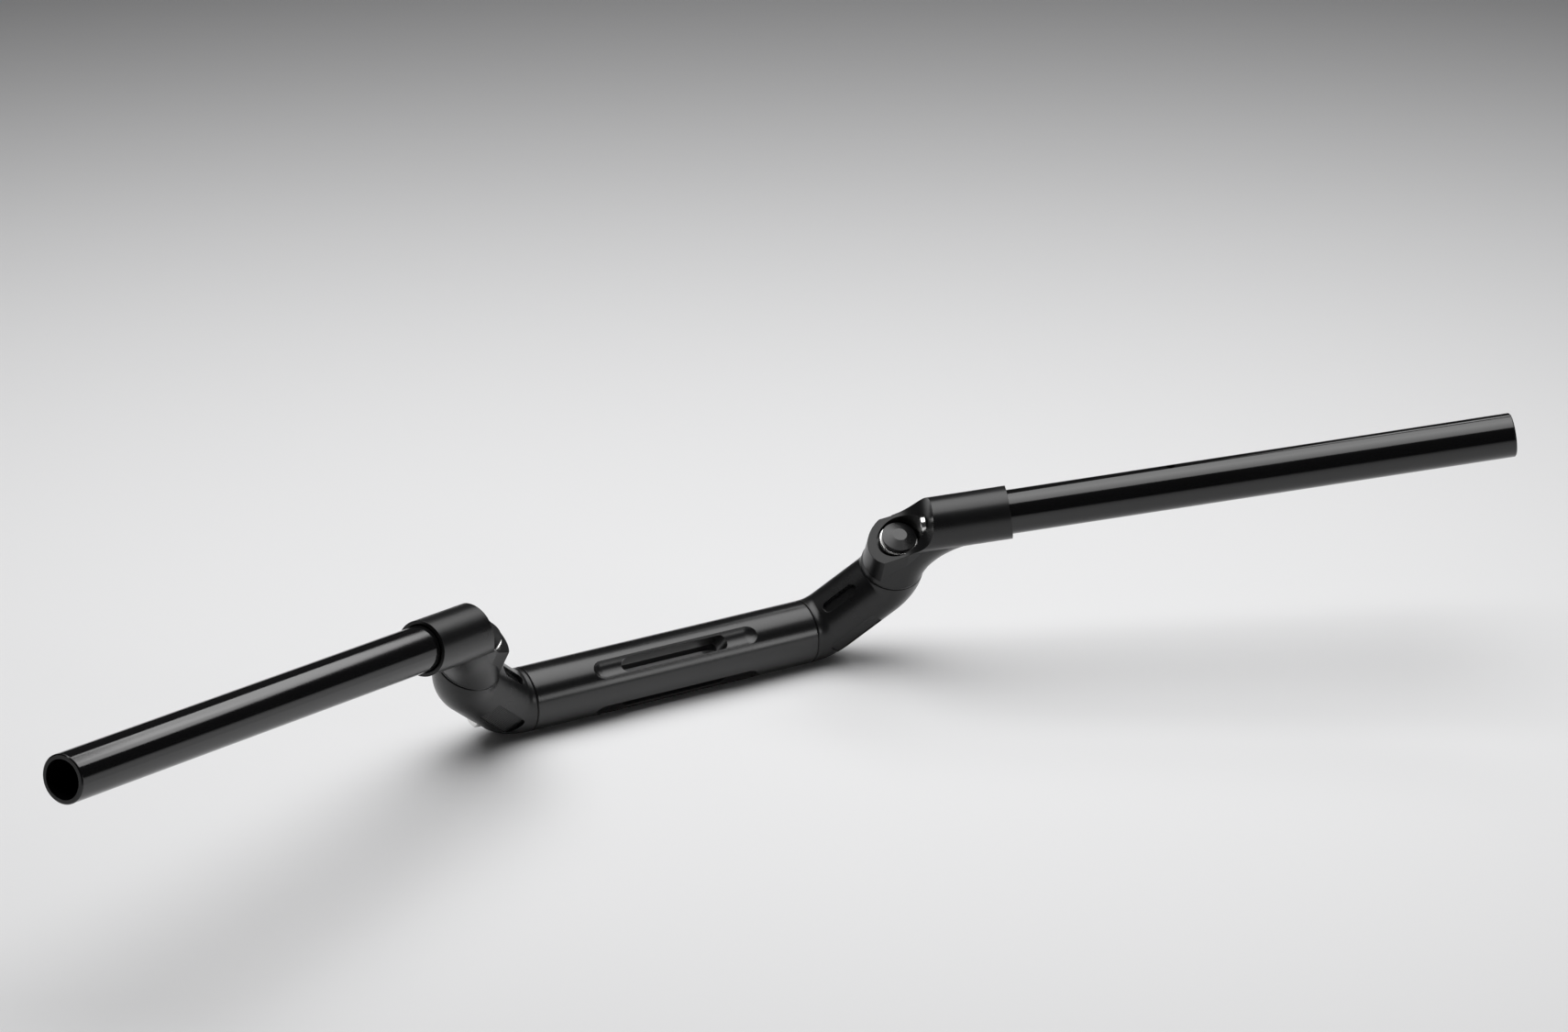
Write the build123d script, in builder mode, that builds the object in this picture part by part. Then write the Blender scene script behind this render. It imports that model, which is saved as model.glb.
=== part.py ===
"""Adjustable clip-on handlebar for a motorbike: a slotted centre bar, two turning
elbows, two swivelling heads and two grip tubes, with the screws that lock them."""
import os
from math import cos, radians, sin, tan

from build123d import *

os.makedirs("parts", exist_ok=True)

# Driving sizes, all in millimetres and degrees.
bar_d = 32.0
bar_len = 160.0
grip_d = 22.2
grip_wall = 2.3
grip_reach = 255.0
grip_insert = 34.0
socket_d = 26.8
arm_rise = 45.0
elbow_lean = 30.0
swivel_tilt = 8.0
arm_up = 32.1
screw_d = 10.0
tube_screw_d = 6.0

# Named clearances between pieces.
face_gap = 0.05
slip_gap = 0.05
turn_gap = 0.35
press_gap = 0.02
edge_break = 0.5
spigot_step = 0.6

# The centre bar lies along X with its middle at the origin. Z is up and the rider sits
# on the minus Y side. The right elbow lies in a plane that leans towards the rider.
half_len = bar_len / 2
bar_r = bar_d / 2
grip_r = grip_d / 2
socket_r = socket_d / 2
spigot_r = grip_r - spigot_step
screw_r = screw_d / 2
tube_screw_r = tube_screw_d / 2
lean_up = Vector(0, -sin(radians(elbow_lean)), cos(radians(elbow_lean)))
lean_side = Vector(0, -cos(radians(elbow_lean)), -sin(radians(elbow_lean)))
x_axis = Vector(1, 0, 0)
elbow_plane = Plane(origin=(0, 0, 0), x_dir=x_axis, z_dir=lean_side)


def in_lean(along, up):
    """Point in the leaning plane of the right elbow."""
    return x_axis * along + lean_up * up


def flip(point):
    """Mirror image of a point or direction on the left side."""
    return Vector(-point.X, point.Y, point.Z)


# Elbow centre line: out of the bar, round the first bend, up the arm, round the crown to
# the swivel axis. The flat seat for the head lies just past the crown.
bend_r = bar_r * 1.25
crown_r = bar_r + 0.6
crown_turn = 90.0 + swivel_tilt - arm_rise
collar_h = crown_r * tan(radians(crown_turn / 2)) + 0.3
swivel_dir = (lean_up * cos(radians(swivel_tilt)) - x_axis * sin(radians(swivel_tilt))).normalized()
kink_x = half_len + 1.0 + bend_r * tan(radians(arm_rise / 2))
ball_x = kink_x + arm_up / tan(radians(arm_rise))
seat_x = ball_x - collar_h * sin(radians(swivel_tilt))
seat_up = arm_up + collar_h * cos(radians(swivel_tilt))
seat_centre = in_lean(seat_x, seat_up)
arm_dir = x_axis * cos(radians(arm_rise)) + lean_up * sin(radians(arm_rise))
arm_out = x_axis * sin(radians(arm_rise)) - lean_up * cos(radians(arm_rise))

# The grip tube points out, back to the rider and a little up.
grip_sweep = 26.5
grip_rise = 7.5
grip_dir = Vector(
    cos(radians(grip_rise)) * cos(radians(grip_sweep)),
    -cos(radians(grip_rise)) * sin(radians(grip_sweep)),
    sin(radians(grip_rise)),
)
grip_lift = grip_dir.dot(swivel_dir)
head_out = (grip_dir - swivel_dir * grip_lift).normalized()
head_plane = Plane(origin=seat_centre, x_dir=head_out, z_dir=swivel_dir)
head_side = Plane(origin=seat_centre, x_dir=head_out, z_dir=head_out.cross(swivel_dir))

# Heights above the swivel seat, along the swivel axis.
grip_axis_h = 30.0
facet_h = 23.8
facet_slope = 26.5
facet_twist = 9.0
facet_end = 12.8
facet_sweep_r = 22.0
recess_floor_h = 17.2
washer_seat_h = 19.3
washer_t = 2.0
cap_rim_t = 2.2
cap_t = 4.0
stud_in_cap = 2.0
base_t = 1.4
throat_h = 18.4
throat_out = 9.0
throat_lean = 39.0
throat_long = 14.5
throat_wide = 12.1
boss_r = 15.4
boss_wide = 25.8
boss_end = 13.8
lug_out = 3.0
boss_taper = 1.5
run_floor_h = 22.0
run_top_h = 36.0
run_end_wide = 23.0
recess_r = 10.6
pad_r = 8.3
cap_r = 8.8
cap_flat_r = 3.6
washer_lip = 0.9

# Places along the grip axis, measured outwards from the swivel axis.
grip_root = seat_centre + swivel_dir * grip_axis_h
body_start = -3.5
socket_start = 12.1
socket_mouth = 54.0
socket_floor = socket_mouth - grip_insert - 1.6
grip_start = socket_mouth - grip_insert
mouth_plane = Plane(origin=grip_root + grip_dir * socket_mouth, z_dir=grip_dir)
tube_plane = Plane(origin=grip_root + grip_dir * grip_start, z_dir=grip_dir)
floor_plane = Plane(origin=grip_root + grip_dir * socket_floor, z_dir=grip_dir)
body_plane = Plane(origin=grip_root + grip_dir * body_start, z_dir=grip_dir)
start_plane = Plane(origin=grip_root + grip_dir * socket_start, z_dir=grip_dir)
end_plane = Plane(origin=grip_root + grip_dir * (socket_mouth + grip_reach), z_dir=grip_dir)
end_bore_r = grip_r - grip_wall + 0.2
end_bore_len = 50.0
tube_head_t = 2.6
grip_up = (Vector(0, 0, 1) - grip_dir * grip_dir.Z).normalized()
grip_across = (head_out * grip_lift - swivel_dir * head_out.dot(grip_dir)).normalized()

# Bar screw: its head sits in a counterbore on the outside of the elbow.
bar_seat_x = kink_x + 8.7
bar_screw_depth = 24.0
screw_head_r = 8.0
screw_head_t = 9.0
bar_washer_r = 8.6
bar_bore_r = 9.4
bar_end_plane = Plane(origin=(half_len, 0, 0), x_dir=(0, 1, 0), z_dir=(1, 0, 0))
bar_seat_plane = Plane(origin=(bar_seat_x, 0, 0), x_dir=(0, 1, 0), z_dir=(1, 0, 0))

# Slots of the centre bar: shallow ball-ended grooves, each with a window right through.
groove_len = 96.0
groove_ball_r = 7.5
groove_depth = 2.6
window_len = 60.0
window_wide = 7.6

# Groove and pocket of each elbow: place along the arm from the bend, sizes and depth.
arm_groove_at = 20.5
arm_groove_turn = 8.0
arm_groove_len = 20.0
arm_groove_wide = 5.8
arm_groove_depth = 2.4
pocket_at = 15.0
pocket_turn = 5.5
pocket_len = 28.0
pocket_wide = 11.8
pocket_corner = 2.2
pocket_depth = 1.9


def save(piece, name):
    """Name the piece and write it out."""
    piece.part.label = name
    export_step(piece.part, f"parts/{name}.step")


# Centre bar with four grooves at even spacing and two crossing windows.
with BuildPart() as centre_bar:
    with BuildSketch(Plane.YZ.offset(-half_len + face_gap)):
        Circle(bar_r)
    extrude(amount=bar_len - 2 * face_gap)
    chamfer(centre_bar.edges().filter_by(GeomType.CIRCLE), 0.5)
    for turn in (45, 135, 225, 315):
        ball_out = bar_r - groove_depth + groove_ball_r
        run = groove_len / 2 - groove_ball_r
        slot_y = ball_out * cos(radians(turn))
        slot_z = ball_out * sin(radians(turn))
        with Locations(Location((0, slot_y, slot_z), (0, 90, 0))):
            Cylinder(groove_ball_r, 2 * run, mode=Mode.SUBTRACT)
        with Locations((-run, slot_y, slot_z), (run, slot_y, slot_z)):
            Sphere(groove_ball_r, mode=Mode.SUBTRACT)
    for turn in (45, 135):
        through = Vector(0, cos(radians(turn)), sin(radians(turn)))
        with BuildSketch(Plane(origin=(0, 0, 0), x_dir=x_axis, z_dir=through)):
            SlotOverall(window_len, window_wide)
        extrude(amount=bar_d, both=True, mode=Mode.SUBTRACT)
    for end in (-1, 1):
        hole_plane = Plane(origin=(end * half_len, 0, 0), x_dir=(0, 1, 0), z_dir=(-end, 0, 0))
        with BuildSketch(hole_plane):
            Circle(screw_r)
        extrude(amount=bar_screw_depth + 3.0, mode=Mode.SUBTRACT)
save(centre_bar, "centre_bar")

# Right elbow: one round arm with two bends and a flat seat for the head.
with BuildPart() as right_elbow:
    with BuildLine(elbow_plane) as elbow_line:
        FilletPolyline(
            (half_len + face_gap, 0),
            (kink_x, 0),
            (ball_x, arm_up),
            (seat_x + face_gap * sin(radians(swivel_tilt)), seat_up - face_gap * cos(radians(swivel_tilt))),
            radius=(bend_r, crown_r),
        )
    with BuildSketch(bar_end_plane.offset(face_gap)):
        Circle(bar_r)
    sweep(path=elbow_line.wire())
    seat_rim = right_elbow.edges().filter_by(GeomType.CIRCLE).sort_by_distance(seat_centre)[0]
    end_rim = right_elbow.edges().filter_by(GeomType.CIRCLE).sort_by_distance((half_len, 0, 0))[0]
    chamfer((seat_rim, end_rim), edge_break)
    # Screw hole for the head and the drilled seat for the bar screw.
    with BuildSketch(head_plane):
        Circle(screw_r)
    extrude(amount=-26.0, mode=Mode.SUBTRACT)
    with BuildSketch(bar_end_plane):
        Circle(screw_r + turn_gap)
    extrude(amount=bar_seat_x - half_len + 2.0, mode=Mode.SUBTRACT)
    with BuildSketch(bar_seat_plane):
        Circle(bar_bore_r)
    extrude(amount=40.0, mode=Mode.SUBTRACT)
    # Weight-saving groove on the inner side and a shallow rounded pocket on the rider side.
    groove_out = lean_side * sin(radians(arm_groove_turn)) - arm_out * cos(radians(arm_groove_turn))
    groove_floor = in_lean(kink_x, 0) + arm_dir * arm_groove_at + groove_out * (bar_r - arm_groove_depth)
    with BuildSketch(Plane(origin=groove_floor, x_dir=arm_dir, z_dir=groove_out)):
        SlotOverall(arm_groove_len, arm_groove_wide)
    extrude(amount=bar_r, mode=Mode.SUBTRACT)
    pocket_out = lean_side * cos(radians(pocket_turn)) + arm_out * sin(radians(pocket_turn))
    pocket_mid = in_lean(kink_x, 0) + arm_dir * pocket_at + pocket_out * (bar_r - pocket_depth)
    with BuildSketch(Plane(origin=pocket_mid, x_dir=arm_dir, z_dir=pocket_out)):
        RectangleRounded(pocket_len, pocket_wide, pocket_corner)
    extrude(amount=bar_r, mode=Mode.SUBTRACT)
save(right_elbow, "right_elbow")

# Right head: a bent round neck with a flared base, a boss for the screw, and the socket.
facet_cross = head_plane.y_dir * cos(radians(facet_twist)) + swivel_dir * sin(radians(facet_twist))
facet_plane = Plane(origin=seat_centre + swivel_dir * facet_h, x_dir=head_out, z_dir=facet_cross * -1)
facet_grade = tan(radians(facet_slope))
throat_down = head_out * cos(radians(throat_lean)) - swivel_dir * sin(radians(throat_lean))
throat_normal = head_out * sin(radians(throat_lean)) + swivel_dir * cos(radians(throat_lean))
throat_mid = seat_centre + head_out * throat_out + swivel_dir * throat_h
throat_plane = Plane(origin=throat_mid, x_dir=throat_down, z_dir=throat_normal)
root_plane = Plane(origin=grip_root + grip_dir * 30.0, x_dir=grip_across, z_dir=grip_dir)
with BuildPart() as right_head:
    # Neck drawn smoothly from the round foot, through a leaning oval, into the socket.
    with BuildSketch(head_plane.offset(base_t)):
        Circle(bar_r - 0.05)
    with BuildSketch(throat_plane):
        Ellipse(throat_long, throat_wide)
    with BuildSketch(root_plane):
        Circle(socket_r - 0.1)
    loft()
    with BuildSketch(body_plane):
        Circle(socket_r)
    extrude(amount=socket_mouth - body_start)
    with BuildSketch(head_plane.offset(face_gap)):
        Circle(bar_r)
    extrude(amount=base_t - face_gap)
    foot_rim = right_head.edges().filter_by(GeomType.CIRCLE).sort_by_distance(seat_centre)[0]
    chamfer(foot_rim, edge_break)
    # Lug for the swivel screw: round at its inner end, with flat sides that run to the socket.
    with BuildSketch(head_plane.offset(base_t / 2)):
        Circle(boss_r)
        with Locations(((lug_out - boss_r) / 2, 0)):
            Rectangle(boss_r + lug_out, boss_wide, mode=Mode.INTERSECT)
    extrude(amount=run_top_h, taper=boss_taper)
    with BuildPart() as lug_run:
        with BuildSketch(head_plane.offset(base_t / 2)):
            Polygon(
                (0, boss_wide / 2),
                (0, -boss_wide / 2),
                (lug_out, -boss_wide / 2),
                (boss_end, -run_end_wide / 2),
                (boss_end, run_end_wide / 2),
                (lug_out, boss_wide / 2),
                align=None,
            )
        extrude(amount=run_top_h, taper=boss_taper)
        with BuildSketch(head_side):
            with BuildLine():
                Polyline(
                    (0, base_t),
                    (lug_out, base_t),
                    (boss_end, run_floor_h),
                    (boss_end, run_top_h),
                    (0, run_top_h),
                    close=True,
                )
            make_face()
        extrude(amount=boss_wide, both=True, mode=Mode.INTERSECT)
    add(lug_run.part)
    # Sloping facet that runs in a hollow sweep up to the end of the socket.
    with BuildSketch(facet_plane):
        with BuildLine():
            facet_foot = (-30.0, -30.0 * facet_grade)
            facet_top = (facet_end, facet_end * facet_grade)
            FilletPolyline(facet_foot, facet_top, (facet_end, 40.0), radius=facet_sweep_r)
            Polyline((facet_end, 40.0), (-30.0, 40.0), facet_foot)
        make_face()
    extrude(amount=40.0, both=True, mode=Mode.SUBTRACT)
    # Round recess for the cap with a pad for the washer, and the channel to the tube screw.
    with BuildSketch(head_plane.offset(recess_floor_h)):
        Circle(recess_r)
    extrude(amount=40.0, mode=Mode.SUBTRACT)
    with BuildSketch(start_plane):
        Circle(tube_screw_r + 2.0)
    extrude(amount=-14.0, mode=Mode.SUBTRACT)
    with BuildSketch(head_plane.offset(recess_floor_h - 1.0)):
        Circle(pad_r)
    extrude(amount=washer_seat_h - recess_floor_h + 1.0)
    with BuildSketch(head_plane):
        Circle(screw_r + turn_gap)
    extrude(amount=40.0, mode=Mode.SUBTRACT)
    with BuildSketch(start_plane.offset(-1.0)):
        Circle(tube_screw_r + 0.3)
    extrude(amount=12.0, mode=Mode.SUBTRACT)
    with BuildSketch(floor_plane):
        Circle(spigot_r + slip_gap)
    extrude(amount=socket_mouth - socket_floor + 1.0, mode=Mode.SUBTRACT)
    mouth_face = right_head.faces().filter_by(GeomType.PLANE).sort_by_distance(mouth_plane.origin)[0]
    chamfer(mouth_face.inner_wires()[0].edges(), 1.2)
save(right_head, "right_head")

# Grip tubes. The small locating hole for the switch block faces up on the right tube
# and down on the left tube, and lies further out on the left.
with BuildPart() as right_grip_tube:
    with BuildSketch(tube_plane):
        Circle(spigot_r)
    extrude(amount=grip_insert)
    with BuildSketch(mouth_plane):
        Circle(grip_r)
    extrude(amount=grip_reach)
    with BuildSketch(tube_plane):
        Circle(grip_r - grip_wall)
    extrude(amount=grip_insert + grip_reach, mode=Mode.SUBTRACT)
    with BuildSketch(end_plane):
        Circle(end_bore_r)
    extrude(amount=-end_bore_len, mode=Mode.SUBTRACT)
    end_rims = right_grip_tube.edges().filter_by(GeomType.CIRCLE).sort_by_distance(end_plane.origin)
    chamfer(end_rims[1], edge_break)
    with BuildSketch(Plane(origin=mouth_plane.origin + grip_dir * 83.0, x_dir=grip_dir, z_dir=grip_up)):
        Circle(2.1)
    extrude(amount=grip_d, mode=Mode.SUBTRACT)
save(right_grip_tube, "right_grip_tube")

with BuildPart() as left_grip_tube:
    left_root = Plane(origin=flip(tube_plane.origin), z_dir=flip(grip_dir))
    with BuildSketch(left_root):
        Circle(spigot_r)
    extrude(amount=grip_insert)
    with BuildSketch(left_root.offset(grip_insert)):
        Circle(grip_r)
    extrude(amount=grip_reach)
    with BuildSketch(left_root):
        Circle(grip_r - grip_wall)
    extrude(amount=grip_insert + grip_reach, mode=Mode.SUBTRACT)
    with BuildSketch(Plane(origin=flip(end_plane.origin), z_dir=flip(grip_dir))):
        Circle(end_bore_r)
    extrude(amount=-end_bore_len, mode=Mode.SUBTRACT)
    end_rims = left_grip_tube.edges().filter_by(GeomType.CIRCLE).sort_by_distance(flip(end_plane.origin))
    chamfer(end_rims[1], edge_break)
    left_hole = flip(mouth_plane.origin + grip_dir * 126.0)
    with BuildSketch(Plane(origin=left_hole, x_dir=flip(grip_dir), z_dir=flip(grip_up) * -1)):
        Circle(2.1)
    extrude(amount=grip_d, mode=Mode.SUBTRACT)
save(left_grip_tube, "left_grip_tube")

# Threaded plug inside the root of the tube.
with BuildPart() as right_tube_plug:
    with BuildSketch(tube_plane.offset(1.0)):
        Circle(grip_r - grip_wall - press_gap)
        Circle(tube_screw_r, mode=Mode.SUBTRACT)
    extrude(amount=22.0)
    chamfer(right_tube_plug.edges().filter_by(GeomType.CIRCLE), 0.4)
save(right_tube_plug, "right_tube_plug")

# Tube screw: its low head lies in the channel of the head, its thread in the plug.
with BuildPart() as right_tube_screw:
    with BuildSketch(start_plane):
        Circle(tube_screw_r + 1.6)
    extrude(amount=-tube_head_t)
    chamfer(right_tube_screw.edges().filter_by(GeomType.CIRCLE).sort_by_distance(grip_root)[0], 0.5)
    with BuildSketch(start_plane.offset(-tube_head_t)):
        RegularPolygon(tube_screw_r - 0.4, 6)
    extrude(amount=tube_head_t * 0.7, mode=Mode.SUBTRACT)
    with BuildSketch(start_plane):
        Circle(tube_screw_r - press_gap)
    extrude(amount=grip_start - socket_start + 17.0)
save(right_tube_screw, "right_tube_screw")

# Swivel screw, washer and cap on the swivel axis.
cap_floor_h = washer_seat_h + washer_t
with BuildPart() as right_swivel_washer:
    with BuildSketch(head_plane.offset(washer_seat_h)):
        Circle(cap_r + washer_lip)
        Circle(screw_r + 0.2, mode=Mode.SUBTRACT)
    extrude(amount=washer_t)
    chamfer(right_swivel_washer.edges().filter_by(GeomType.CIRCLE).sort_by_distance(grip_root)[-3:], 0.3)
save(right_swivel_washer, "right_swivel_washer")

with BuildPart() as right_swivel_screw:
    with BuildSketch(head_plane.offset(-24.0)):
        Circle(screw_r - press_gap)
    extrude(amount=24.0 + cap_floor_h + stud_in_cap)
save(right_swivel_screw, "right_swivel_screw")

with BuildPart() as right_swivel_cap:
    with BuildSketch(head_side):
        with BuildLine():
            Polyline(
                (0, cap_floor_h + stud_in_cap + press_gap),
                (screw_r, cap_floor_h + stud_in_cap + press_gap),
                (screw_r, cap_floor_h),
                (cap_r, cap_floor_h),
                (cap_r, cap_floor_h + cap_rim_t),
                (cap_flat_r, cap_floor_h + cap_t),
                (0, cap_floor_h + cap_t),
                close=True,
            )
        make_face()
    revolve(axis=Axis(seat_centre, swivel_dir))
save(right_swivel_cap, "right_swivel_cap")

# Bar screw and washer that pull the elbow against the end of the bar.
with BuildPart() as right_bar_washer:
    with BuildSketch(bar_seat_plane):
        Circle(bar_washer_r)
        Circle(screw_r + 0.2, mode=Mode.SUBTRACT)
    extrude(amount=1.6)
save(right_bar_washer, "right_bar_washer")

with BuildPart() as right_bar_screw:
    with BuildSketch(bar_seat_plane.offset(1.6)):
        Circle(screw_head_r)
    extrude(amount=screw_head_t)
    chamfer(right_bar_screw.edges().filter_by(GeomType.CIRCLE).sort_by(Axis.X)[-1], 0.8)
    with BuildSketch(bar_seat_plane.offset(1.6 + screw_head_t)):
        RegularPolygon(4.6, 6)
    extrude(amount=-5.0, mode=Mode.SUBTRACT)
    with BuildSketch(bar_seat_plane.offset(1.6)):
        Circle(screw_r - press_gap)
    extrude(amount=-(bar_seat_x + 1.6 - half_len + bar_screw_depth))
save(right_bar_screw, "right_bar_screw")

# The left side is the mirror image of the right side.
with BuildPart() as left_elbow:
    add(mirror(right_elbow.part, about=Plane.YZ))
save(left_elbow, "left_elbow")

with BuildPart() as left_head:
    add(mirror(right_head.part, about=Plane.YZ))
save(left_head, "left_head")

with BuildPart() as left_tube_plug:
    add(mirror(right_tube_plug.part, about=Plane.YZ))
save(left_tube_plug, "left_tube_plug")

with BuildPart() as left_tube_screw:
    add(mirror(right_tube_screw.part, about=Plane.YZ))
save(left_tube_screw, "left_tube_screw")

with BuildPart() as left_swivel_washer:
    add(mirror(right_swivel_washer.part, about=Plane.YZ))
save(left_swivel_washer, "left_swivel_washer")

with BuildPart() as left_swivel_screw:
    add(mirror(right_swivel_screw.part, about=Plane.YZ))
save(left_swivel_screw, "left_swivel_screw")

with BuildPart() as left_swivel_cap:
    add(mirror(right_swivel_cap.part, about=Plane.YZ))
save(left_swivel_cap, "left_swivel_cap")

with BuildPart() as left_bar_washer:
    add(mirror(right_bar_washer.part, about=Plane.YZ))
save(left_bar_washer, "left_bar_washer")

with BuildPart() as left_bar_screw:
    add(mirror(right_bar_screw.part, about=Plane.YZ))
save(left_bar_screw, "left_bar_screw")
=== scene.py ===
"""Looks of an adjustable handlebar in black anodised aluminium, on a pale studio floor."""
import math

import bpy
from mathutils import Matrix, Vector


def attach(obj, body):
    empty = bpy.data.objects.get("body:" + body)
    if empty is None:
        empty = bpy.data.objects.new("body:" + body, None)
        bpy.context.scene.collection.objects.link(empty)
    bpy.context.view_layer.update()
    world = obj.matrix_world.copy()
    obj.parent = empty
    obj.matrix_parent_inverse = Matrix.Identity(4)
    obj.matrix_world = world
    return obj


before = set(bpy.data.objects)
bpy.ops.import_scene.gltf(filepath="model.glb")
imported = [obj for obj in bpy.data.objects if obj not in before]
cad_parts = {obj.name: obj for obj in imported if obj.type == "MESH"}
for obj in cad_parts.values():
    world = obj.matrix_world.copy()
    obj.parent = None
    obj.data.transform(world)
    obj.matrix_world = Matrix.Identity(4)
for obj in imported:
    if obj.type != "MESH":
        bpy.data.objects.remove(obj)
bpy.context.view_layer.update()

# ---------------------------------------------------------------------------
# Centre bar: a round aluminium bar, turned on a lathe, slotted on four sides with a
# ball-nosed cutter and anodised black. The motorbike's clamps close round it.


class Wire:
    """One output of a node. Arithmetic on wires and numbers adds Math nodes to the same tree."""

    def __init__(self, tree, socket=None):
        self.tree, self.socket = tree, socket

    def make(self, kind, inputs, out=0, **settings):
        """Add a node of this kind: first its settings, then the values or links of its sockets."""
        node = self.tree.nodes.new(kind)
        for name, value in settings.items():
            setattr(node, name, value)
        for key, value in inputs.items():
            if isinstance(value, Wire):
                self.tree.links.new(value.socket, node.inputs[key])
            else:
                node.inputs[key].default_value = value
        return Wire(self.tree, node.outputs[out])

    def other(self, name):
        """Another output of the node that this wire comes from."""
        return Wire(self.tree, self.socket.node.outputs[name])

    def math(self, operation, *values):
        return self.make("ShaderNodeMath", dict(enumerate(values)), operation=operation)

    def vector(self, operation, *values, out=0):
        inputs = dict(enumerate((self, *values)))
        return self.make("ShaderNodeVectorMath", inputs, out, operation=operation)

    def __add__(self, other):
        return self.math("ADD", self, other)

    def __radd__(self, other):
        return self.math("ADD", other, self)

    def __sub__(self, other):
        return self.math("SUBTRACT", self, other)

    def __rsub__(self, other):
        return self.math("SUBTRACT", other, self)

    def __mul__(self, other):
        return self.math("MULTIPLY", self, other)

    def __rmul__(self, other):
        return self.math("MULTIPLY", other, self)

    def fade(self, low, high):
        """0 below low, 1 above high, with a smooth step between them."""
        inputs = {"Value": self, "From Min": low, "From Max": high}
        return self.make("ShaderNodeMapRange", inputs, interpolation_type="SMOOTHSTEP")

    def tint(self, low, high):
        """Colour low where the wire is 0 and colour high where it is 1."""
        factor, first_colour, second_colour, mixed_colour = 0, 6, 7, 2
        inputs = {factor: self, first_colour: (*low, 1), second_colour: (*high, 1)}
        return self.make("ShaderNodeMix", inputs, mixed_colour, data_type="RGBA")

    def noise(self, scale, detail=2.0):
        """Noise from 0 to 1 at this place, with scale in spots per metre."""
        return self.make("ShaderNodeTexNoise", {"Vector": self, "Scale": scale, "Detail": detail})

    def lines(self, scale, detail=2.0):
        """Noise from 0 to 1 that changes with one measure only, such as a distance along a bar."""
        inputs = {"W": self, "Scale": scale, "Detail": detail}
        return self.make("ShaderNodeTexNoise", inputs, noise_dimensions="1D")


def new_finish(name, ior, metallic=0.0):
    """A new material with a plain shader; gives the material and the place on the piece."""
    material = bpy.data.materials.new(name)
    material.use_nodes = True
    shader = material.node_tree.nodes["Principled BSDF"]
    shader.inputs["IOR"].default_value = ior
    shader.inputs["Metallic"].default_value = metallic
    return material, Wire(material.node_tree).make("ShaderNodeTexCoord", {}, "Object")


def set_finish(material, colour, roughness, relief, depth, edge_radius):
    """Link colour, roughness and a relief of this depth; edges are broken by edge_radius."""
    shader = material.node_tree.nodes["Principled BSDF"]
    edge = relief.make("ShaderNodeBevel", {"Radius": edge_radius}, samples=6)
    bump = relief.make("ShaderNodeBump", {"Height": relief, "Distance": depth, "Normal": edge})
    for name, wire in (("Base Color", colour), ("Roughness", roughness), ("Normal", bump)):
        material.node_tree.links.new(wire.socket, shader.inputs[name])


def coat_nodes(material, *nodes):
    """Give CAD nodes this material."""
    for name in nodes:
        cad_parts[name].data.materials.clear()
        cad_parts[name].data.materials.append(material)


bar_radius = 0.016
slot_edge_deep, slot_edge_shallow = 0.0004, 0.0001
bar_black, place = new_finish("bar_turned_black", 1.6)
across = place.make("ShaderNodeSeparateXYZ", {"Vector": place})
from_axis = place.vector("MULTIPLY", (0.0, 1.0, 1.0)).vector("LENGTH", out="Value")
turned = from_axis.fade(bar_radius - slot_edge_deep, bar_radius - slot_edge_shallow)
feed_marks = across.lines(scale=1500.0, detail=3.0)
cutter_marks = place.noise(scale=900.0, detail=3.0)
handling = place.noise(scale=38.0, detail=3.0)
bar_relief = turned * feed_marks + (1 - turned) * cutter_marks
set_finish(
    bar_black,
    colour=handling.tint((0.004, 0.004, 0.0042), (0.007, 0.007, 0.0073)),
    roughness=0.17 + handling * 0.09 + (1 - turned) * 0.10,
    relief=bar_relief,
    depth=0.0000045,
    edge_radius=0.0003,
)
coat_nodes(bar_black, "centre_bar")

# ---------------------------------------------------------------------------
# Elbows: bent aluminium arms on the ends of the bar, milled, blasted fine and anodised
# black. Each has a groove on its inner side and a pocket whose floor keeps cutter ribs.


def both_sides(place):
    """The place with its X made positive, so that left and right pieces share one pattern."""
    side = place.make("ShaderNodeSeparateXYZ", {"Vector": place})
    inputs = {"X": side.math("ABSOLUTE", side), "Y": side.other("Y"), "Z": side.other("Z")}
    return side.make("ShaderNodeCombineXYZ", inputs)


lean_up = Vector((0.0, -0.5, math.sqrt(0.75)))
lean_side = Vector((0.0, -math.sqrt(0.75), -0.5))
arm_dir = (Vector((1.0, 0.0, 0.0)) + lean_up).normalized()
arm_out = (Vector((1.0, 0.0, 0.0)) - lean_up).normalized()
kink = Vector((0.08928, 0.0, 0.0))
elbow_black, place = new_finish("elbow_milled_black", 1.5)
place = both_sides(place)
along_arm = place.vector("DOT_PRODUCT", arm_dir, out="Value")
blasted = place.noise(scale=1400.0, detail=3.0)
arm_marks = along_arm.lines(scale=1100.0, detail=3.0)
worn = place.noise(scale=55.0, detail=4.0)
set_finish(
    elbow_black,
    colour=worn.tint((0.004, 0.004, 0.0042), (0.008, 0.008, 0.0083)),
    roughness=0.23 + worn * 0.12,
    relief=blasted * 0.6 + arm_marks * 0.7,
    depth=0.000006,
    edge_radius=0.00035,
)
coat_nodes(elbow_black, "right_elbow", "left_elbow")

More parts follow.
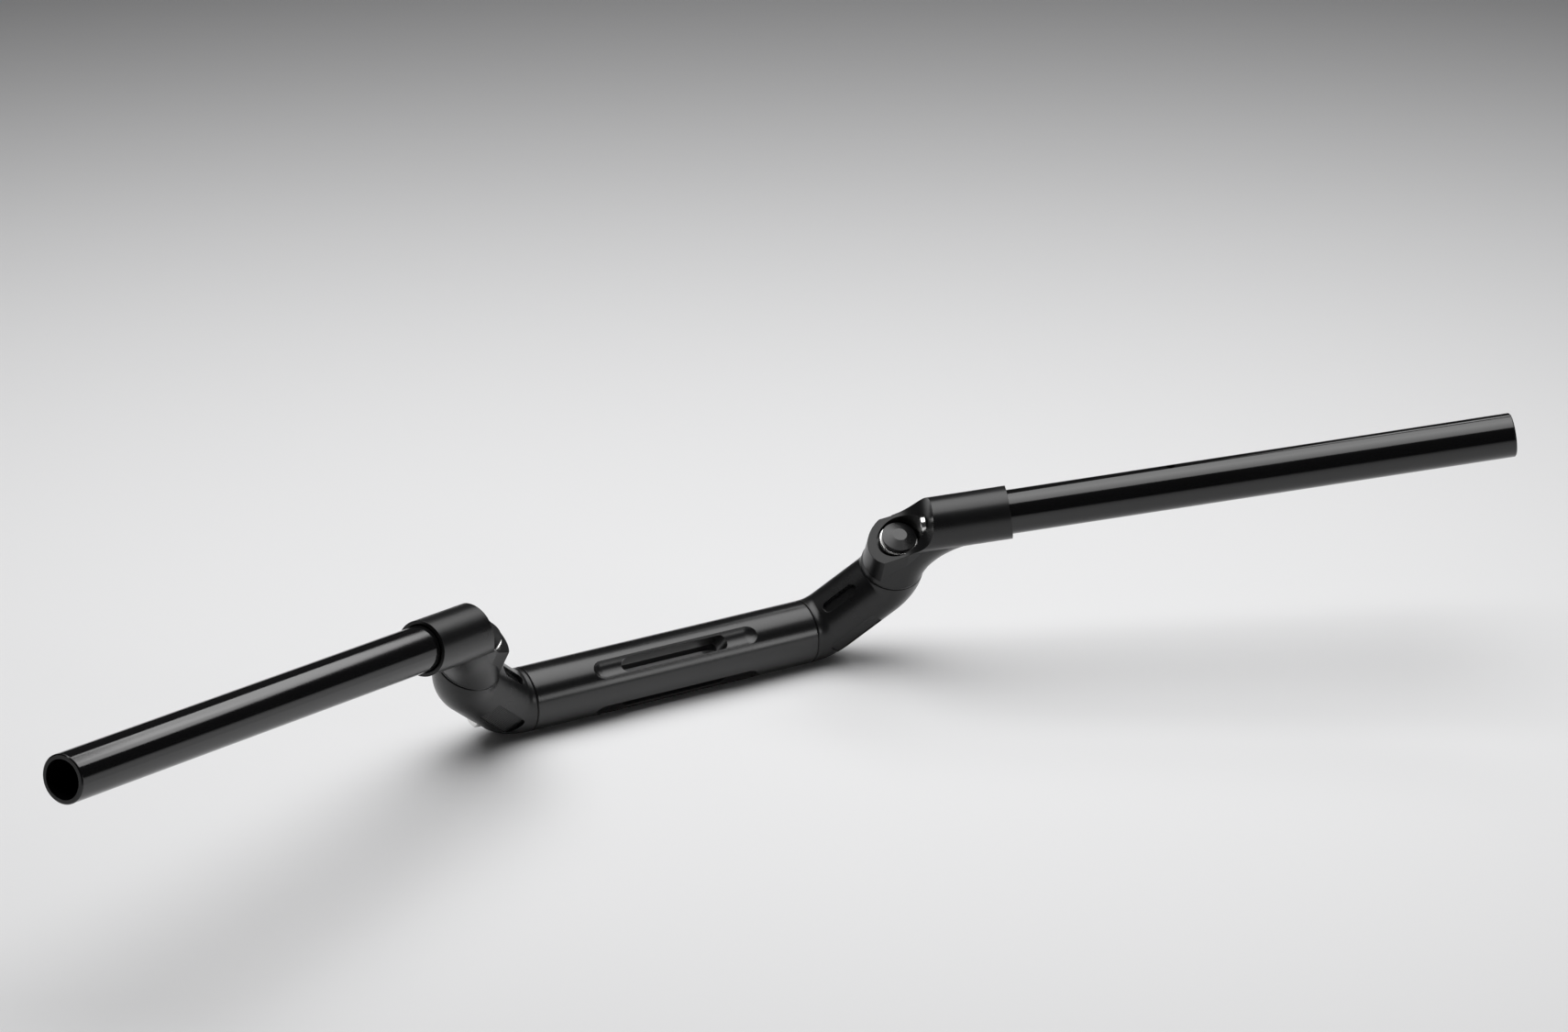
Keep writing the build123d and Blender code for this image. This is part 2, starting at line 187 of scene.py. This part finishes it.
pocket_long, pocket_wide, pocket_corner = 0.028, 0.0118, 0.0022
pocket_floor, pocket_at, pocket_turn = 0.0141, 0.015, math.radians(5.5)
rib_count, rib_pitch, rib_radius = 14, 0.0008, 0.0004
rib_end_gap, rib_sink = 0.0002, 0.0001
rib_tree = bpy.data.node_groups.new("pocket_ribs", "GeometryNodeTree")
rib_inputs = {}
for name, kind in (
    ("Rib count", "NodeSocketInt"),
    ("Pitch", "NodeSocketFloat"),
    ("Length", "NodeSocketFloat"),
    ("Straight width", "NodeSocketFloat"),
    ("Corner", "NodeSocketFloat"),
    ("Rib radius", "NodeSocketFloat"),
    ("Finish", "NodeSocketMaterial"),
):
    socket = rib_tree.interface.new_socket(name, in_out="INPUT", socket_type=kind)
    rib_inputs[name] = socket.identifier
rib_tree.interface.new_socket("Ribs", in_out="OUTPUT", socket_type="NodeSocketGeometry")
given = Wire(rib_tree).make("NodeGroupInput", {})
start = (given.other("Rib count") - 1) * given.other("Pitch") * -0.5
row = given.make(
    "GeometryNodeMeshLine",
    {
        "Count": given.other("Rib count"),
        "Start Location": given.make("ShaderNodeCombineXYZ", {"Y": start}),
        "Offset": given.make("ShaderNodeCombineXYZ", {"Y": given.other("Pitch")}),
    },
)
on_row = given.make("GeometryNodeInputPosition", {})
rib_at = given.make("ShaderNodeSeparateXYZ", {"Vector": on_row}, "Y")
half_straight = given.other("Straight width") * 0.5
past_side = given.math("MAXIMUM", given.math("ABSOLUTE", rib_at) - half_straight, 0.0)
corner = given.other("Corner")
corner_rest = given.math("MAXIMUM", corner * corner - past_side * past_side, 0.0)
corner_left = given.math("SQRT", corner_rest)
rib_length = given.other("Length") - 2 * (corner - corner_left)
rib_line = given.make("GeometryNodeCurvePrimitiveLine", {"Start": (-0.5, 0, 0), "End": (0.5, 0, 0)})
rib_round = given.make(
    "GeometryNodeCurvePrimitiveCircle", {"Resolution": 16, "Radius": given.other("Rib radius")}
)
rib = given.make(
    "GeometryNodeCurveToMesh", {"Curve": rib_line, "Profile Curve": rib_round, "Fill Caps": True}
)
ribs = given.make(
    "GeometryNodeInstanceOnPoints",
    {
        "Points": row,
        "Instance": rib,
        "Scale": given.make("ShaderNodeCombineXYZ", {"X": rib_length, "Y": 1.0, "Z": 1.0}),
    },
)
ribs = given.make("GeometryNodeRealizeInstances", {"Geometry": ribs})
ribs = given.make("GeometryNodeSetShadeSmooth", {"Geometry": ribs})
ribs = given.make("GeometryNodeSetMaterial", {"Geometry": ribs, "Material": given.other("Finish")})
group_end = rib_tree.nodes.new("NodeGroupOutput")
rib_tree.links.new(ribs.socket, group_end.inputs[0])

pocket_out = lean_side * math.cos(pocket_turn) + arm_out * math.sin(pocket_turn)
for side, body in ((1, "right_arm"), (-1, "left_arm")):
    host = bpy.data.objects.new("rib_host", bpy.data.meshes.new("rib_host"))
    bpy.context.scene.collection.objects.link(host)
    maker = host.modifiers.new("ribs", "NODES")
    maker.node_group = rib_tree
    for name, value in (
        ("Rib count", rib_count),
        ("Pitch", rib_pitch),
        ("Length", pocket_long - rib_end_gap),
        ("Straight width", pocket_wide - 2 * pocket_corner),
        ("Corner", pocket_corner),
        ("Rib radius", rib_radius),
        ("Finish", elbow_black),
    ):
        maker[rib_inputs[name]] = value
    bpy.context.view_layer.update()
    made = host.evaluated_get(bpy.context.evaluated_depsgraph_get())
    mesh = bpy.data.meshes.new_from_object(made)
    bpy.data.objects.remove(host)
    mirror = Vector((side, 1.0, 1.0))
    rib_x = (arm_dir * mirror).normalized()
    rib_z = (pocket_out * mirror).normalized()
    rib_y = rib_z.cross(rib_x)
    rib_mid = (kink + arm_dir * pocket_at) * mirror + rib_z * (pocket_floor - rib_sink)
    turn = Matrix((rib_x, rib_y, rib_z)).transposed().to_4x4()
    mesh.transform(Matrix.Translation(rib_mid) @ turn)
    pocket_ribs = bpy.data.objects.new(body + "_pocket_ribs", mesh)
    bpy.context.scene.collection.objects.link(pocket_ribs)
    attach(pocket_ribs, body)

# ---------------------------------------------------------------------------
# Heads: swan-neck aluminium heads that swivel on the elbows and hold the grip tubes,
# milled from solid with a sloping facet, blasted fine and anodised black.

swivel_seat = Vector((0.12019, -0.0203, 0.03515))
swivel_dir = Vector((-0.13917, -0.49513, 0.8576)).normalized()


def from_line(place, point, direction):
    """Distance from a straight line, for marks that run round a turned or drilled piece."""
    away = place.vector("SUBTRACT", point)
    return away.vector("CROSS_PRODUCT", direction).vector("LENGTH", out="Value")


head_black, place = new_finish("head_milled_black", 1.5)
place = both_sides(place)
facing_marks = from_line(place, swivel_seat, swivel_dir).lines(scale=1300.0, detail=3.0)
blasted = place.noise(scale=1500.0, detail=3.0)
worn = place.noise(scale=60.0, detail=4.0)
set_finish(
    head_black,
    colour=worn.tint((0.0045, 0.0045, 0.0047), (0.009, 0.009, 0.0093)),
    roughness=0.23 + worn * 0.12,
    relief=blasted * 0.7 + facing_marks * 0.4,
    depth=0.000006,
    edge_radius=0.00035,
)
coat_nodes(head_black, "right_head", "left_head")

# ---------------------------------------------------------------------------
# Grip tubes: drawn aluminium tubes, polished and anodised gloss black, with a small
# drilled locating hole. Each slides into its head and takes a grip and the controls.

grip_root = Vector((0.11602, -0.03515, 0.06088))
grip_dir = Vector((0.88728, -0.44238, 0.13053)).normalized()
tube_black, place = new_finish("tube_gloss_black", 1.58)
place = both_sides(place)
drawn = place.make(
    "ShaderNodeMapping",
    {
        "Vector": place,
        "Rotation": (0.0, math.asin(-grip_dir.z), math.atan2(grip_dir.y, grip_dir.x)),
        "Scale": (0.03, 1.0, 1.0),
    },
    vector_type="TEXTURE",
)
draw_lines = drawn.noise(scale=700.0, detail=2.0)
smudge = place.noise(scale=24.0, detail=3.0)
set_finish(
    tube_black,
    colour=smudge.tint((0.003, 0.003, 0.0032), (0.005, 0.005, 0.0052)),
    roughness=0.085 + smudge * 0.06,
    relief=draw_lines,
    depth=0.0000012,
    edge_radius=0.00025,
)
coat_nodes(tube_black, "right_grip_tube", "left_grip_tube")

# ---------------------------------------------------------------------------
# Screws and washers: bright turned steel. The washers shine out under the caps, the tube
# screws lie in the channels of the heads and the bar screws sit deep in the elbows.


def turned_steel(name, point, direction):
    """Bright steel with fine marks round its own axis."""
    material, place = new_finish(name, 2.5, metallic=1.0)
    place = both_sides(place)
    rings = from_line(place, point, direction).lines(scale=4200.0, detail=3.0)
    stain = place.noise(scale=160.0, detail=4.0)
    set_finish(
        material,
        colour=stain.tint((0.62, 0.61, 0.60), (0.80, 0.80, 0.79)),
        roughness=0.16 + stain * 0.12,
        relief=rings,
        depth=0.0000035,
        edge_radius=0.0002,
    )
    return material


coat_nodes(
    turned_steel("swivel_steel", swivel_seat, swivel_dir),
    "right_swivel_washer",
    "left_swivel_washer",
    "right_swivel_screw",
    "left_swivel_screw",
)
coat_nodes(
    turned_steel("tube_screw_steel", grip_root, grip_dir),
    "right_tube_screw",
    "left_tube_screw",
)
coat_nodes(
    turned_steel("bar_screw_steel", Vector((0, 0, 0)), Vector((1, 0, 0))),
    "right_bar_screw",
    "left_bar_screw",
    "right_bar_washer",
    "left_bar_washer",
)

# ---------------------------------------------------------------------------
# Tube plugs: bare turned aluminium, threaded, pressed into the roots of the grip tubes
# so that the tube screws have something to pull on.

plug_alloy, place = new_finish("plug_bare_alloy", 1.5, metallic=1.0)
place = both_sides(place)
from_root = place.vector("SUBTRACT", grip_root).vector("DOT_PRODUCT", grip_dir, out="Value")
plug_rings = from_root.lines(scale=2500.0, detail=2.0)
oxide = place.noise(scale=220.0, detail=3.0)
set_finish(
    plug_alloy,
    colour=oxide.tint((0.50, 0.50, 0.51), (0.62, 0.62, 0.62)),
    roughness=0.30 + oxide * 0.15,
    relief=plug_rings,
    depth=0.000006,
    edge_radius=0.0002,
)
coat_nodes(plug_alloy, "right_tube_plug", "left_tube_plug")

# ---------------------------------------------------------------------------
# Swivel caps: turned aluminium cones with a flat top, anodised black, pressed on the
# upper ends of the swivel screws so that they hold the bright washers down.

cap_black, place = new_finish("cap_turned_black", 1.55)
place = both_sides(place)
cap_rings = from_line(place, swivel_seat, swivel_dir).lines(scale=2600.0, detail=2.0)
worn = place.noise(scale=120.0, detail=3.0)
set_finish(
    cap_black,
    colour=worn.tint((0.006, 0.006, 0.0063), (0.011, 0.011, 0.0114)),
    roughness=0.22 + worn * 0.12,
    relief=cap_rings,
    depth=0.000004,
    edge_radius=0.0003,
)
coat_nodes(cap_black, "right_swivel_cap", "left_swivel_cap")

# ---------------------------------------------------------------------------
# Studio: a plain pale floor under the bar, one wide soft lamp overhead with two smaller
# soft panels, a dim room and the camera at the photograph's viewing angle.

camera_turn, camera_drop = math.radians(31.2), math.radians(22.0)
camera_place = (-1.0739, -1.8872, 0.9567)
sensor_width, focal_pixels, photo_pixels = 36.0, 5206.0, 1710.0
camera_right = Vector((math.cos(camera_turn), -math.sin(camera_turn), 0.0))
camera_ahead = Vector(
    (
        math.sin(camera_turn) * math.cos(camera_drop),
        math.cos(camera_turn) * math.cos(camera_drop),
        -math.sin(camera_drop),
    )
)
camera_up = camera_right.cross(camera_ahead)
camera_data = bpy.data.cameras.new("camera")
camera_data.sensor_width = sensor_width
camera_data.sensor_fit = "HORIZONTAL"
camera_data.lens = sensor_width * focal_pixels / photo_pixels
camera_data.clip_start, camera_data.clip_end = 0.05, 50.0
camera = bpy.data.objects.new("camera", camera_data)
turn = Matrix((camera_right, camera_up, -camera_ahead)).transposed().to_4x4()
camera.matrix_world = Matrix.Translation(camera_place) @ turn
bpy.context.scene.collection.objects.link(camera)
bpy.context.scene.camera = camera

floor_reach = 9.0
floor_corners = [
    (-floor_reach, -floor_reach, -bar_radius),
    (floor_reach, -floor_reach, -bar_radius),
    (floor_reach, floor_reach, -bar_radius),
    (-floor_reach, floor_reach, -bar_radius),
]
floor_mesh = bpy.data.meshes.new("floor")
floor_mesh.from_pydata(floor_corners, [], [(0, 1, 2, 3)])
floor = bpy.data.objects.new("floor", floor_mesh)
bpy.context.scene.collection.objects.link(floor)
floor_pale = bpy.data.materials.new("floor_pale")
floor_pale.use_nodes = True
floor_shader = floor_pale.node_tree.nodes["Principled BSDF"]
floor_shader.inputs["IOR"].default_value = 1.45
floor_shader.inputs["Base Color"].default_value = (0.80, 0.80, 0.805, 1.0)
floor_shader.inputs["Roughness"].default_value = 0.55
floor_mesh.materials.append(floor_pale)

# The lamp's power in watts for each square metre at a radiance of 1.
watts_per_area = 4.0


def soft_lamp(name, right, ahead, up, wide, long, radiance, spread):
    """A soft flat lamp that faces the middle of the bar; its place is as the camera sees it."""
    data = bpy.data.lights.new(name, "AREA")
    data.shape = "RECTANGLE"
    data.size, data.size_y = wide, long
    data.energy = radiance * watts_per_area * wide * long
    data.spread = math.radians(spread)
    camera_floor = Vector((math.sin(camera_turn), math.cos(camera_turn), 0.0))
    away = camera_right * right + camera_floor * ahead + Vector((0.0, 0.0, up))
    across = Vector((0.0, 0.0, 1.0)).cross(away).normalized()
    beam = away.normalized()
    lamp = bpy.data.objects.new(name, data)
    turn = Matrix((across, beam.cross(across), beam)).transposed().to_4x4()
    lamp.matrix_world = Matrix.Translation(away) @ turn
    bpy.context.scene.collection.objects.link(lamp)


soft_lamp(
    "softbox", right=0.0, ahead=0.15, up=1.15, wide=1.8, long=1.45, radiance=1.06, spread=115.0
)
soft_lamp(
    "rear_panel", right=1.05, ahead=1.39, up=1.42, wide=1.9, long=0.36, radiance=0.95, spread=110.0
)
soft_lamp(
    "side_panel", right=1.5, ahead=-0.8, up=0.36, wide=0.5, long=0.4, radiance=0.85, spread=110.0
)

world = bpy.data.worlds.new("room")
world.use_nodes = True
world.node_tree.nodes["Background"].inputs["Color"].default_value = (0.025, 0.025, 0.026, 1.0)
bpy.context.scene.world = world
bpy.context.scene.view_settings.view_transform = "Standard"
